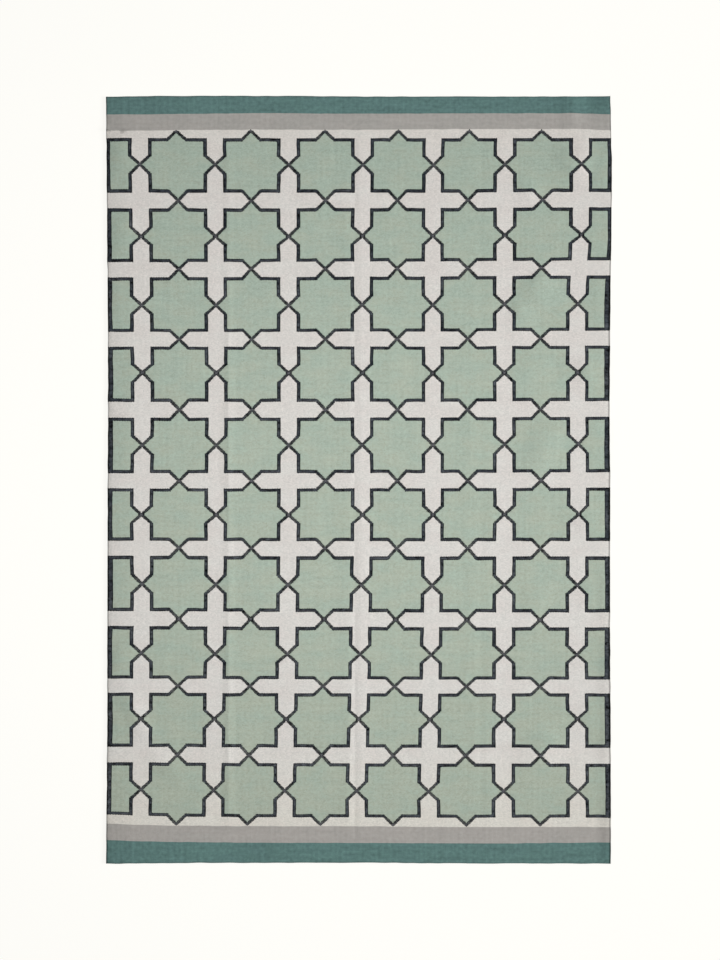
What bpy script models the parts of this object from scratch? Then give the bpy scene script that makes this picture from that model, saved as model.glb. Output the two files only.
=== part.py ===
# A flat-woven cotton rug, lying on a floor as it does soon after it has been unfolded.
#
# Metres, +Z up. The origin is on the floor under the middle of the rug's outline, +X runs
# across the width and +Y along the length, towards the far end. The rug is one cloth of even
# thickness: its hems and selvedges belong to it. Its outline wanders by a few millimetres, it
# keeps three soft fold lines, and it swells off the floor in low humps, most of them on the
# +X side, where its edge curls up a little.

import math
from collections import namedtuple

import bmesh
import bpy

MM = 0.001

RUG_WIDTH = 1.200          # selvedge to selvedge, on average
RUG_LENGTH = 1.831         # hem to hem, on average
CLOTH_THICKNESS = 0.004    # stout warps with the weft packed over both their faces
RIM_RADIUS = 0.0014        # rounding of the selvedges and hems
RIM_STEPS = 2

COLUMN_GAP = 0.080         # widest step between points across the flat cloth
SWELL_COLUMN_GAP = 0.027   # the same across the strips that swell
ROW_GAP = 0.040            # step between points along the cloth
SWELL_STRIPS = ((-0.600, -0.410), (0.345, 0.600))

FOLD_FADE = 0.080          # a fold line dies away over this length at each of its ends
CREASE_RADIUS = 0.0025     # the cloth turns this tightly on its fold lines
CREASE_PARTS = (0.0, 0.14, 0.42, 1.0)  # where a crease has points, in its half widths
TROUGH_SHOULDER = 0.048    # half the width over which the cloth rises beside a trough
SHOULDER_PART = 0.66       # where the shoulder has a point, in its width

CLOTH_COLOUR = (0.62, 0.63, 0.56, 1.0)
CLOTH_ROUGHNESS = 0.92

# How far the two selvedges stand out of the average width, in millimetres, at a part of the
# length from the near hem.
Selvedges = namedtuple("Selvedges", "along left right")
SELVEDGES = (
    Selvedges(0.00, 3.6, 0.6),
    Selvedges(0.04, 3.0, 0.8),
    Selvedges(0.12, 1.7, 0.9),
    Selvedges(0.20, 0.5, 0.3),
    Selvedges(0.27, 0.8, -0.6),
    Selvedges(0.37, 0.3, -0.8),
    Selvedges(0.49, -0.1, -0.1),
    Selvedges(0.58, -1.0, -1.8),
    Selvedges(0.68, -1.0, -0.6),
    Selvedges(0.74, -0.1, 0.4),
    Selvedges(0.82, 1.1, 2.6),
    Selvedges(0.90, 2.2, 3.7),
    Selvedges(0.96, 3.2, 1.6),
    Selvedges(1.00, 3.7, -1.0),
)

# How far the two hems stand out of the average length, in millimetres, at a part of the width
# from the left selvedge.
Hems = namedtuple("Hems", "across near far")
HEMS = (
    Hems(0.00, 0.9, -1.3),
    Hems(0.05, 0.4, -0.3),
    Hems(0.12, -0.3, 0.4),
    Hems(0.20, -1.3, 1.1),
    Hems(0.33, -1.0, 0.5),
    Hems(0.45, -1.4, 0.0),
    Hems(0.54, -1.8, -0.8),
    Hems(0.64, -0.5, -0.6),
    Hems(0.78, 0.4, -0.5),
    Hems(0.90, 0.4, -0.5),
    Hems(1.00, 0.4, -0.8),
)

# Fold lines that run along the rug: place across it, the stretch they run, the rise towards
# each end of it and half their width, all in millimetres. A ridge stands up on its line; a
# trough lies on the floor on its line, between two shoulders.
FoldLine = namedtuple("FoldLine", "name kind across start end near_rise far_rise half_width")
FOLD_LINES = (
    FoldLine("left quarter", "ridge", -311.0, -860.0, 440.0, 1.35, 1.25, 20.0),
    FoldLine("left quarter, far end", "ridge", -311.0, 380.0, 860.0, 0.8, 0.9, 20.0),
    FoldLine("middle", "trough", -10.0, -890.0, 860.0, 0.9, 0.75, 14.0),
    FoldLine("right quarter", "trough", 292.0, -890.0, 860.0, 0.65, 0.5, 26.0),
)

# Low swellings: place of the crest's middle, the crest's turn from +X in degrees, half its
# length, how far the cloth takes to come down on the crest's right and on its left, and the
# rise, in millimetres.
Swelling = namedtuple("Swelling", "name across along turn half_length right_slope left_slope rise")
SWELLINGS = (
    Swelling("far side", 425.0, 468.0, 36.0, 58.0, 64.0, 28.0, 3.6),
    Swelling("far side, second", 405.0, 262.0, 75.0, 62.0, 60.0, 42.0, 1.8),
    Swelling("middle side", 438.0, 72.0, 68.0, 104.0, 46.0, 56.0, 3.2),
    Swelling("near side", 437.0, -275.0, 50.0, 62.0, 30.0, 50.0, 2.4),
    Swelling("near side, last", 450.0, -606.0, -35.0, 50.0, 90.0, 40.0, 2.4),
    Swelling("beside the edge, far", 546.0, 255.0, 90.0, 72.0, 42.0, 40.0, 2.4),
    Swelling("beside the edge, middle", 545.0, -85.0, 90.0, 72.0, 42.0, 36.0, 1.5),
    Swelling("edge curl, middle", 603.0, -330.0, 90.0, 130.0, 30.0, 28.0, 2.6),
    Swelling("edge curl, near", 603.0, -600.0, 90.0, 190.0, 30.0, 28.0, 2.8),
    Swelling("near right corner", 608.0, -850.0, 90.0, 140.0, 30.0, 32.0, 3.2),
    Swelling("far end, slanting", 488.0, 770.0, -37.0, 56.0, 22.0, 36.0, 2.4),
    Swelling("far end, beside it", 548.0, 786.0, 96.0, 60.0, 20.0, 38.0, 1.8),
    Swelling("far end, edge", 586.0, 752.0, 90.0, 76.0, 34.0, 32.0, 2.2),
    Swelling("far hem", 511.0, 894.0, 90.0, 92.0, 28.0, 40.0, 3.2),
    Swelling("far right corner", 560.0, 860.0, 90.0, 50.0, 36.0, 40.0, 4.0),
    Swelling("left edge, far", -573.0, 588.0, 90.0, 66.0, 44.0, 24.0, 1.6),
    Swelling("left edge, near", -573.0, -425.0, 90.0, 56.0, 44.0, 22.0, 1.8),
    Swelling("near left", -532.0, -585.0, -62.0, 100.0, 26.0, 40.0, 2.4),
    Swelling("near left, inner", -460.0, -682.0, -40.0, 84.0, 30.0, 38.0, 2.0),
    Swelling("near left corner", -503.0, -866.0, -25.0, 108.0, 38.0, 42.0, 1.0),
)


def smooth_step(part):
    """0 below 0, 1 above 1, and an S between them."""
    part = min(max(part, 0.0), 1.0)
    return part * part * (3.0 - 2.0 * part)


def bump(distance, half_width):
    """1 on a line, falling smoothly to exactly 0 at half_width from it."""
    part = min(abs(distance) / half_width, 1.0)
    return (1.0 - part * part) ** 2


def read_edge(table, column, part):
    """One edge's offset in metres, eased from row to row of its table."""
    for before, after in zip(table, table[1:]):
        if part <= after[0]:
            share = smooth_step((part - before[0]) / (after[0] - before[0]))
            low = getattr(before, column)
            high = getattr(after, column)
            return MM * (low + (high - low) * share)
    return MM * getattr(table[-1], column)


def wander(across, along):
    """The place in the outline of a point of the plain rectangle."""
    part_across = 0.5 + across / RUG_WIDTH
    part_along = 0.5 + along / RUG_LENGTH
    left = -read_edge(SELVEDGES, "left", part_along)
    right = read_edge(SELVEDGES, "right", part_along)
    near = -read_edge(HEMS, "near", part_across)
    far = read_edge(HEMS, "far", part_across)
    x = across + left * (1.0 - part_across) + right * part_across
    y = along + near * (1.0 - part_along) + far * part_along
    return x, y


def fold_lift(fold, x, y):
    """How far one fold line lifts the cloth."""
    start = fold.start * MM
    end = fold.end * MM
    reach = smooth_step((y - start) / FOLD_FADE) * smooth_step((end - y) / FOLD_FADE)
    part = (y - start) / (end - start)
    rise = MM * (fold.near_rise + (fold.far_rise - fold.near_rise) * part)
    side = math.hypot(x - fold.across * MM, CREASE_RADIUS) - CREASE_RADIUS
    crease = max(0.0, 1.0 - side / (fold.half_width * MM)) ** 2
    if fold.kind == "trough":
        return rise * reach * bump(side, TROUGH_SHOULDER) * (1.0 - crease)
    return rise * reach * crease


def swelling_lift(swelling, x, y):
    """How far one swelling lifts the cloth."""
    turn = math.radians(swelling.turn)
    from_x = x - swelling.across * MM
    from_y = y - swelling.along * MM
    along = from_x * math.cos(turn) + from_y * math.sin(turn)
    left = from_y * math.cos(turn) - from_x * math.sin(turn)
    slope = swelling.left_slope if left > 0.0 else swelling.right_slope
    return swelling.rise * MM * bump(along, swelling.half_length * MM) * bump(left, slope * MM)


def lift(x, y):
    """Height of the cloth's underside above the floor."""
    height = sum(fold_lift(fold, x, y) for fold in FOLD_LINES)
    height += sum(swelling_lift(swelling, x, y) for swelling in SWELLINGS)
    return height


def stations(lines, gap_at):
    """The given lines with even steps between them, none wider than gap_at says there."""
    places = [lines[0]]
    for low, high in zip(lines, lines[1:]):
        count = max(1, math.ceil((high - low) / gap_at((low + high) / 2.0) - 1e-6))
        places += [low + (high - low) * step / count for step in range(1, count + 1)]
    return places


def column_places():
    """Places of the columns of points: on each fold line, beside it and evenly between."""
    lines = {end for strip in SWELL_STRIPS for end in strip}
    for fold in FOLD_LINES:
        offsets = [part * fold.half_width * MM for part in CREASE_PARTS]
        if fold.kind == "trough":
            offsets += [SHOULDER_PART * TROUGH_SHOULDER, TROUGH_SHOULDER]
        lines.update(fold.across * MM + side * offset for offset in offsets for side in (-1.0, 1.0))

    def gap_at(place):
        inside = any(start < place < end for start, end in SWELL_STRIPS)
        return SWELL_COLUMN_GAP if inside else COLUMN_GAP

    return stations(sorted(lines), gap_at)


def row_places():
    """Places of the rows of points, evenly along the rug."""
    return stations([-RUG_LENGTH / 2.0, RUG_LENGTH / 2.0], lambda place: ROW_GAP)


def outline_middle(columns, rows):
    """Middle of the box round the wandering outline."""
    points = [wander(across, rows[0]) for across in columns]
    points += [wander(across, rows[-1]) for across in columns]
    points += [wander(columns[0], along) for along in rows]
    points += [wander(columns[-1], along) for along in rows]
    xs = [point[0] for point in points]
    ys = [point[1] for point in points]
    return (min(xs) + max(xs)) / 2.0, (min(ys) + max(ys)) / 2.0


def lay_underside(bm):
    """The cloth's underside, a lattice of points on the floor and over the folds."""
    columns = column_places()
    rows = row_places()
    middle_x, middle_y = outline_middle(columns, rows)
    lattice = []
    for along in rows:
        line = []
        for across in columns:
            x, y = wander(across, along)
            x -= middle_x
            y -= middle_y
            line.append(bm.verts.new((x, y, lift(x, y))))
        lattice.append(line)
    for near, far in zip(lattice, lattice[1:]):
        for left in range(len(columns) - 1):
            bm.faces.new((near[left], near[left + 1], far[left + 1], far[left]))


def thicken(bm):
    """Raises the upper face straight up off the underside, at one thickness all over."""
    raised = bmesh.ops.extrude_face_region(bm, geom=list(bm.faces), use_keep_orig=True)
    upper = [item for item in raised["geom"] if isinstance(item, bmesh.types.BMVert)]
    bmesh.ops.translate(bm, verts=upper, vec=(0.0, 0.0, CLOTH_THICKNESS))
    bmesh.ops.recalc_face_normals(bm, faces=bm.faces)


def round_rim(bm):
    """Rounds the upper and lower edges of the selvedges and hems."""
    def is_side(face):
        return abs(face.normal.z) < 0.5

    rim = [
        edge for edge in bm.edges
        if len(edge.link_faces) == 2 and is_side(edge.link_faces[0]) != is_side(edge.link_faces[1])
    ]
    bmesh.ops.bevel(
        bm, geom=rim, offset=RIM_RADIUS, segments=RIM_STEPS, profile=0.5,
        affect="EDGES", clamp_overlap=True,
    )
    for point in bm.verts:
        point.co.z = max(point.co.z, 0.0)  # the rounding never dips under the floor


def cotton():
    """Plain matt cotton in the rug's average colour."""
    material = bpy.data.materials.new("matt_cotton")
    material.use_nodes = True
    surface = material.node_tree.nodes["Principled BSDF"]
    surface.inputs["Base Color"].default_value = CLOTH_COLOUR
    surface.inputs["Roughness"].default_value = CLOTH_ROUGHNESS
    surface.inputs["Metallic"].default_value = 0.0
    return material


def make_rug():
    """The whole rug, one closed cloth."""
    bm = bmesh.new()
    lay_underside(bm)
    thicken(bm)
    round_rim(bm)
    bmesh.ops.triangulate(bm, faces=bm.faces)
    bmesh.ops.recalc_face_normals(bm, faces=bm.faces)
    mesh = bpy.data.meshes.new("rug_cloth")
    bm.to_mesh(mesh)
    bm.free()
    mesh.shade_smooth()
    mesh.set_sharp_from_angle(angle=math.radians(50.0))
    mesh.materials.append(cotton())
    rug = bpy.data.objects.new("rug_cloth", mesh)
    bpy.context.collection.objects.link(rug)
    return rug


for old in list(bpy.data.objects):
    bpy.data.objects.remove(old, do_unlink=True)

make_rug()
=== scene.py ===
import math
import bmesh
import bpy
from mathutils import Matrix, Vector, noise


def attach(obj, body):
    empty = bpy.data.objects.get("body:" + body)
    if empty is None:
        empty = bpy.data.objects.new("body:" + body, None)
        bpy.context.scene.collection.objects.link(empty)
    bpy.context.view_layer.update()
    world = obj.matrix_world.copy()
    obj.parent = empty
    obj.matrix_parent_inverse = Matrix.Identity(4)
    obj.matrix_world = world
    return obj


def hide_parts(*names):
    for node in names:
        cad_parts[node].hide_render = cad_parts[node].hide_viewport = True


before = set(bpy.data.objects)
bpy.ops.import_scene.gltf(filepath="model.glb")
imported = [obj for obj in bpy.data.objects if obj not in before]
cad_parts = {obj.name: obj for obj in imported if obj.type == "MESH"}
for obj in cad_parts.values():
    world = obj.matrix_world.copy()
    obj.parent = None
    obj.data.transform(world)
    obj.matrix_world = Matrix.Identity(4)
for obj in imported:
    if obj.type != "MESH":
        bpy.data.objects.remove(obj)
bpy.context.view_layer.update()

mm = 0.001
weld = 0.0001  # points closer than this become one


# small helpers

def only(obj):  # makes one object active and the only one selected
    bpy.ops.object.select_all(action="DESELECT")
    obj.select_set(True)
    bpy.context.view_layer.objects.active = obj


def pickFaces(obj, want):  # selects the faces whose middle passes the test
    bpy.ops.mesh.select_mode(type="FACE")
    bpy.ops.mesh.select_all(action="DESELECT")
    shape = bmesh.from_edit_mesh(obj.data)
    for face in shape.faces:
        face.select_set(want(face.calc_center_median()))
    bmesh.update_edit_mesh(obj.data)


def pickRimEdges(obj, want):  # selects the open edges whose middle passes the test
    bpy.ops.mesh.select_mode(type="EDGE")
    bpy.ops.mesh.select_all(action="DESELECT")
    shape = bmesh.from_edit_mesh(obj.data)
    for edge in shape.edges:
        middle = (edge.verts[0].co + edge.verts[1].co) / 2
        edge.select_set(edge.is_boundary and want(middle))
    bmesh.update_edit_mesh(obj.data)


def cutAll(place, direction):  # one straight cut through everything
    bpy.ops.mesh.select_all(action="SELECT")
    bpy.ops.mesh.bisect(plane_co=place, plane_no=direction, threshold=weld / 10)


def evenPlaces(low, high, step):  # even steps strictly between two places
    count = max(1, round((high - low) / step))
    return [low + (high - low) * part / count for part in range(1, count)]


def smoothPart(part):
    part = min(max(part, 0.0), 1.0)
    return part * part * (3 - 2 * part)


def readTable(table, key, column, place):  # eases from row to row of a table
    for before, after in zip(table, table[1:]):
        if place <= after[key]:
            part = smoothPart((place - before[key]) / (after[key] - before[key]))
            return before[column] + (after[column] - before[column]) * part
    return table[-1][column]


# the woven design: one star, one half star, and the plain bands

design = {
    "width": 1.200,  # the cloth, selvedge to selvedge
    "length": 1.831,  # hem to hem
    "starAcross": 0.1737,  # one repeat of the star
    "starAlong": 0.1660,
    "starsAcross": 6,
    "starsAlong": 10,
    "fieldShift": 0.003,  # the star ground sits this far towards the far end
    "ribPitch": 0.002895,  # ribs that the warps raise, 60 to each star
    "armUp": 0.037635,  # 13 ribs: cream cross arms that run along the rug, outline to outline
    "armAcross": 0.0362,  # cream cross arms that run across it
    "outlineUp": 0.008685,  # 3 ribs: outlines that run along the rug
    "outlineAcross": 0.0080,  # outlines that run across it
    "outlineSlant": 0.0073,
    "edgeOutline": 0.010868,  # dark strip at the selvedge beside a half star, from 203.5 ribs on
    "endSlope": 1.0,  # slope of the end tips, run against rise
    "sideSlope": 0.94,  # slope of the side tips
    "tipRoom": 0.6,  # a tip's cuts keep to this share of the star's body
    "meshStep": 0.0098,  # spacing of the cloth's points
    "endPlain": 0.0055,  # cream left between the last stars and the end bands
    "nearGrey": 0.0355,
    "farGrey": 0.0345,
}
colourOrder = ["cream", "sage", "navy", "grey", "teal"]


def repeatShape(low, high, tips, edgeBand):  # outline numbers of one repeat between two places
    half = design["starAlong"] / 2
    arm = design["armUp"] / 2
    return {
        "low": low,
        "high": high,
        "tips": tips,
        "bodyLow": low if edgeBand else low + arm,
        "bodyHigh": high - arm,
        "bandLow": edgeBand or design["outlineUp"],
        "bandHigh": design["outlineUp"],
        "bodyAlong": half - design["armAcross"] / 2,
        "bandAlong": design["outlineAcross"],
        "halfAlong": half,
    }


def slantOffset(slope):  # how far a slanted outline's edge lies from its middle, along the tip
    return design["outlineSlant"] / 2 * math.sqrt(1 + slope * slope) / slope


def insideStar(shape, x, y, inner):  # is the point within the outline's outer or inner edge
    bandLow = shape["bandLow"] if inner else 0
    bandHigh = shape["bandHigh"] if inner else 0
    bandAlong = shape["bandAlong"] if inner else 0
    low, high = shape["bodyLow"] + bandLow, shape["bodyHigh"] - bandHigh
    along = shape["bodyAlong"] - bandAlong
    if low < x < high and abs(y) < along:
        return True
    side = -1 if inner else 1
    endSlope, sideSlope = design["endSlope"], design["sideSlope"]
    if "ends" in shape["tips"] and abs(y) >= along:
        reach = shape["halfAlong"] + side * slantOffset(endSlope) - abs(y)
        if abs(x - (shape["low"] + shape["high"]) / 2) < reach * endSlope:
            return True
    if "high" in shape["tips"] and x >= high:
        if abs(y) < (shape["high"] + side * slantOffset(sideSlope) - x) * sideSlope:
            return True
    if "low" in shape["tips"] and x <= low:
        if abs(y) < (x - shape["low"] + side * slantOffset(sideSlope)) * sideSlope:
            return True
    return False


def yarnAt(shape, x, y):
    if insideStar(shape, x, y, True):
        return "sage"
    return "navy" if insideStar(shape, x, y, False) else "cream"


def cutTip(obj, shape, tip, sign):  # four slanted cuts make the two edges of both slants
    across = (shape["low"] + shape["high"]) / 2
    room = shape["bodyAlong"] * design["tipRoom"]
    if tip == "ends":
        point, slope = Vector((across, sign * shape["halfAlong"], 0)), design["endSlope"]
        limit = shape["bodyAlong"] - shape["bandAlong"]
        inTip = lambda c: c.y * sign > limit and abs(c.x - across) < room
        axis = Vector((0, sign, 0))
    else:
        point, slope = Vector((shape["high"] if sign > 0 else shape["low"], 0, 0)), design["sideSlope"]
        limit = shape["bodyHigh"] - shape["bandHigh"] if sign > 0 else shape["bodyLow"] + shape["bandLow"]
        inTip = lambda c: c.x * sign > limit * sign and abs(c.y) < room
        axis = Vector((sign, 0, 0))
    sideways = Vector((axis.y, axis.x, 0))
    for offset in (-slantOffset(slope), slantOffset(slope)):
        for lean in (-1, 1):
            pickFaces(obj, inTip)
            line = sideways * slope * lean - axis  # direction of the slanted edge
            bpy.ops.mesh.bisect(
                plane_co=point + axis * offset,
                plane_no=Vector((-line.y, line.x, 0)).normalized(),
                threshold=weld / 10,
            )


def makeRepeat(name, shape):  # a flat piece of the ground, cut along every colour change
    across = (shape["low"] + shape["high"]) / 2
    bpy.ops.mesh.primitive_plane_add(size=1, location=(across, 0, 0))
    repeat = bpy.context.active_object
    repeat.name = name
    bpy.ops.transform.resize(value=(shape["high"] - shape["low"], design["starAlong"], 1))
    bpy.ops.object.transform_apply(location=True, rotation=True, scale=True)
    bpy.ops.object.mode_set(mode="EDIT")
    linesAcross = [shape["low"], shape["bodyLow"], shape["bodyLow"] + shape["bandLow"]]
    linesAcross += [shape["bodyHigh"] - shape["bandHigh"], shape["bodyHigh"], shape["high"]]
    body, half = shape["bodyAlong"], shape["halfAlong"]
    inner = body - shape["bandAlong"]
    linesAlong = [-half, -body, -inner, inner, body, half]
    bodySide = body * design["tipRoom"]  # keeps the tip cuts off the corners of the body
    for line in linesAcross[1:-1]:
        if line > shape["low"]:
            cutAll((line, 0, 0), (1, 0, 0))
    for line in linesAlong[1:-1] + [-bodySide, bodySide]:
        cutAll((0, line, 0), (0, 1, 0))
    if "ends" in shape["tips"]:
        for line in (across - bodySide, across + bodySide):
            cutAll((line, 0, 0), (1, 0, 0))
        cutTip(repeat, shape, "ends", 1)
        cutTip(repeat, shape, "ends", -1)
    for tip, sign in (("high", 1), ("low", -1)):
        if tip in shape["tips"]:
            cutTip(repeat, shape, tip, sign)
    for low, high in zip(linesAcross, linesAcross[1:]):
        for line in evenPlaces(low, high, design["meshStep"]):
            cutAll((line, 0, 0), (1, 0, 0))
    for low, high in zip(linesAlong, linesAlong[1:]):
        for line in evenPlaces(low, high, design["meshStep"]):
            cutAll((0, line, 0), (0, 1, 0))
    bpy.ops.object.mode_set(mode="OBJECT")
    for colour in colourOrder:
        repeat.data.materials.append(bpy.data.materials.get(colour) or bpy.data.materials.new(colour))
    for face in repeat.data.polygons:
        face.material_index = colourOrder.index(yarnAt(shape, face.center.x, face.center.y))
    return repeat


def rowOf(obj, count, step):  # copies welded side by side
    copies = obj.modifiers.new("copies", "ARRAY")
    copies.count = count
    copies.use_relative_offset = False
    copies.use_constant_offset = True
    copies.constant_offset_displace = step
    copies.use_merge_vertices = True
    copies.merge_threshold = weld
    only(obj)
    bpy.ops.object.modifier_apply(modifier=copies.name)


def makeGround():  # the whole star-and-cross ground, flat and even
    halfStar = design["starAcross"] / 2
    fieldEdge = design["starsAcross"] * halfStar
    firstRow = design["fieldShift"] - (design["starsAlong"] - 1) * design["starAlong"] / 2
    star = makeRepeat("star", repeatShape(-halfStar, halfStar, ("ends", "high", "low"), 0))
    rowOf(star, design["starsAcross"], (design["starAcross"], 0, 0))
    star.location = (halfStar - fieldEdge, firstRow, 0)

    edgeShape = repeatShape(-design["width"] / 2, -fieldEdge, ("high",), design["edgeOutline"])
    leftEdge = makeRepeat("leftEdge", edgeShape)
    leftEdge.location = (0, firstRow, 0)
    only(leftEdge)
    bpy.ops.object.duplicate()
    rightEdge = bpy.context.active_object
    bpy.ops.object.mode_set(mode="EDIT")
    bpy.ops.mesh.select_all(action="SELECT")
    bpy.ops.transform.resize(value=(-1, 1, 1), center_override=(0, 0, 0))
    bpy.ops.mesh.flip_normals()
    bpy.ops.object.mode_set(mode="OBJECT")

    bpy.ops.object.select_all(action="DESELECT")
    for piece in (leftEdge, rightEdge, star):
        piece.select_set(True)
    bpy.context.view_layer.objects.active = star
    bpy.ops.object.transform_apply(location=True, rotation=True, scale=True)
    bpy.ops.object.join()
    bpy.ops.object.mode_set(mode="EDIT")
    bpy.ops.mesh.select_all(action="SELECT")
    bpy.ops.mesh.remove_doubles(threshold=weld)
    bpy.ops.object.mode_set(mode="OBJECT")
    rowOf(star, design["starsAlong"], (0, design["starAlong"], 0))
    return star


def bandAt(y):  # colour of the plain band here, or nothing in the star ground
    beyond = abs(y - design["fieldShift"]) - design["starsAlong"] * design["starAlong"] / 2
    if beyond < 0:
        return None
    if beyond < design["endPlain"]:
        return "cream"
    grey = design["nearGrey"] if y < 0 else design["farGrey"]
    return "grey" if beyond < design["endPlain"] + grey else "teal"


def addBands(rug):  # plain bands pulled out of both ends of the ground
    halfField = design["starsAlong"] * design["starAlong"] / 2
    nearStart, farStart = design["fieldShift"] - halfField, design["fieldShift"] + halfField
    nearWidths = [design["endPlain"], design["nearGrey"]]
    nearWidths.append(design["length"] / 2 + nearStart - sum(nearWidths))
    farWidths = [design["endPlain"], design["farGrey"]]
    farWidths.append(design["length"] / 2 - farStart - sum(farWidths))
    only(rug)
    bpy.ops.object.mode_set(mode="EDIT")
    for side, start, widths in ((-1, nearStart, nearWidths), (1, farStart, farWidths)):
        pickRimEdges(rug, lambda middle: abs(middle.y - start) < weld)
        for width in widths:
            steps = max(1, round(width / design["meshStep"]))
            for step in range(steps):
                bpy.ops.mesh.extrude_region_move(
                    TRANSFORM_OT_translate={"value": (0, side * width / steps, 0)}
                )
    bpy.ops.mesh.select_all(action="SELECT")
    bpy.ops.mesh.normals_make_consistent(inside=False)
    bpy.ops.object.mode_set(mode="OBJECT")
    if rug.data.polygons[0].normal.z < 0:
        rug.data.flip_normals()
    for face in rug.data.polygons:
        band = bandAt(face.center.y)
        if band:
            face.material_index = colourOrder.index(band)


# how the cloth really lies: places in millimetres, set until the render's lines and
# shadows fell on the photo's

selvedges = [  # how far the sides stand out, at a part of the length from the near hem
    {"along": 0.00, "left": 3.6, "right": 0.6},
    {"along": 0.04, "left": 3.0, "right": 0.8},
    {"along": 0.12, "left": 1.7, "right": 0.9},
    {"along": 0.20, "left": 0.5, "right": 0.3},
    {"along": 0.27, "left": 0.8, "right": -0.6},
    {"along": 0.37, "left": 0.3, "right": -0.8},
    {"along": 0.49, "left": -0.1, "right": -0.1},
    {"along": 0.58, "left": -1.0, "right": -1.8},
    {"along": 0.68, "left": -1.0, "right": -0.6},
    {"along": 0.74, "left": -0.1, "right": 0.4},
    {"along": 0.82, "left": 1.1, "right": 2.6},
    {"along": 0.90, "left": 2.2, "right": 3.7},
    {"along": 0.96, "left": 3.2, "right": 1.6},
    {"along": 1.00, "left": 3.7, "right": -1.0},
]
hems = [  # how far the ends stand out, at a part of the width from the left
    {"across": 0.00, "near": 0.9, "far": -1.3},
    {"across": 0.05, "near": 0.4, "far": -0.3},
    {"across": 0.12, "near": -0.3, "far": 0.4},
    {"across": 0.20, "near": -1.3, "far": 1.1},
    {"across": 0.33, "near": -1.0, "far": 0.5},
    {"across": 0.45, "near": -1.4, "far": 0.0},
    {"across": 0.54, "near": -1.8, "far": -0.8},
    {"across": 0.64, "near": -0.5, "far": -0.6},
    {"across": 0.78, "near": 0.4, "far": -0.5},
    {"across": 0.90, "near": 0.4, "far": -0.5},
    {"across": 1.00, "near": 0.4, "far": -0.8},
]
bandLines = [  # how far the bands' lines and the first stars' feet wander towards the far end
    {"across": 0.00, "nearTeal": 8.2, "nearGrey": 12.3, "feet": 6.0, "farGrey": -6.4, "farTeal": -0.7},
    {"across": 0.06, "nearTeal": 5.4, "nearGrey": 8.8, "feet": 3.0, "farGrey": -5.1, "farTeal": -0.7},
    {"across": 0.16, "nearTeal": 3.2, "nearGrey": 6.7, "feet": 0.0, "farGrey": -3.4, "farTeal": 0.6},
    {"across": 0.31, "nearTeal": 1.8, "nearGrey": 5.6, "feet": 0.0, "farGrey": -2.5, "farTeal": 2.3},
    {"across": 0.45, "nearTeal": 1.4, "nearGrey": 5.4, "feet": 0.0, "farGrey": -3.0, "farTeal": 1.0},
    {"across": 0.76, "nearTeal": 0.1, "nearGrey": 3.7, "feet": 0.0, "farGrey": -1.2, "farTeal": 1.7},
    {"across": 0.93, "nearTeal": 1.6, "nearGrey": 4.0, "feet": 0.0, "farGrey": -1.1, "farTeal": 1.8},
    {"across": 1.00, "nearTeal": 2.8, "nearGrey": 3.6, "feet": 0.0, "farGrey": -4.5, "farTeal": -1.2},
]
farTips = -0.2  # the last stars' tips at the far end
starRows = [  # from the near end: how far each row of stars is off its even place.
    # tips and middle go towards the far end, tilt is the right selvedge's less the left's,
    # and the leans go to the right, at the rug's left, middle and right
    {"tips": 3.8, "middle": 1.6, "tilt": -5.0, "leftLean": 0.5, "lean": -10.5, "rightLean": 2.0},
    {"tips": 3.2, "middle": 6.8, "tilt": -1.0, "leftLean": -0.2, "lean": -6.0, "rightLean": 0.0},
    {"tips": 2.4, "middle": -4.4, "tilt": -3.5, "leftLean": 0.0, "lean": -2.4, "rightLean": -2.5},
    {"tips": -4.1, "middle": -5.0, "tilt": -3.5, "leftLean": 0.8, "lean": 0.2, "rightLean": -2.2},
    {"tips": -0.4, "middle": -3.2, "tilt": 1.0, "leftLean": -1.1, "lean": 3.3, "rightLean": 1.0},
    {"tips": -5.6, "middle": -2.7, "tilt": 3.0, "leftLean": 1.4, "lean": 2.6, "rightLean": 0.3},
    {"tips": -1.8, "middle": 3.2, "tilt": 1.0, "leftLean": 1.6, "lean": 3.1, "rightLean": -1.8},
    {"tips": 1.1, "middle": -0.4, "tilt": 4.5, "leftLean": 0.0, "lean": 2.4, "rightLean": -1.4},
    {"tips": 3.3, "middle": -2.0, "tilt": 4.5, "leftLean": -1.4, "lean": 2.6, "rightLean": 7.5},
    {"tips": 0.1, "middle": 2.6, "tilt": 0.0, "leftLean": -4.9, "lean": 4.3, "rightLean": 7.7},
]
starColumns = [  # from the left: shift of each line between stars, its shares of the rows' leans,
    # how far it lies towards the far end, and the shift of the stars' middles and last tips on its right
    {"shift": 2.1, "left": 1.0, "middle": 0.2, "right": 0.0,
     "rise": 0.8, "stars": 0.0, "near": -3.0, "far": -3.0},
    {"shift": 5.1, "left": 0.6, "middle": 0.45, "right": 0.0,
     "rise": 0.1, "stars": -2.0, "near": -2.6, "far": -0.9},
    {"shift": 3.9, "left": 0.2, "middle": 0.7, "right": 0.0,
     "rise": -0.6, "stars": 0.0, "near": -1.3, "far": -1.9},
    {"shift": 5.3, "left": 0.0, "middle": 1.0, "right": 0.0,
     "rise": 0.0, "stars": -1.0, "near": 1.9, "far": 1.6},
    {"shift": 0.7, "left": 0.0, "middle": 0.8, "right": 0.0,
     "rise": -1.0, "stars": -2.7, "near": 2.9, "far": 3.1},
    {"shift": -0.4, "left": 0.0, "middle": 0.15, "right": 0.1,
     "rise": 0.3, "stars": -1.7, "near": 0.3, "far": -2.5},
    {"shift": 2.0, "left": 0.0, "middle": 0.2, "right": 1.0,
     "rise": 0.9, "stars": 0.0, "near": 0.0, "far": 0.0},
]
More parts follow.
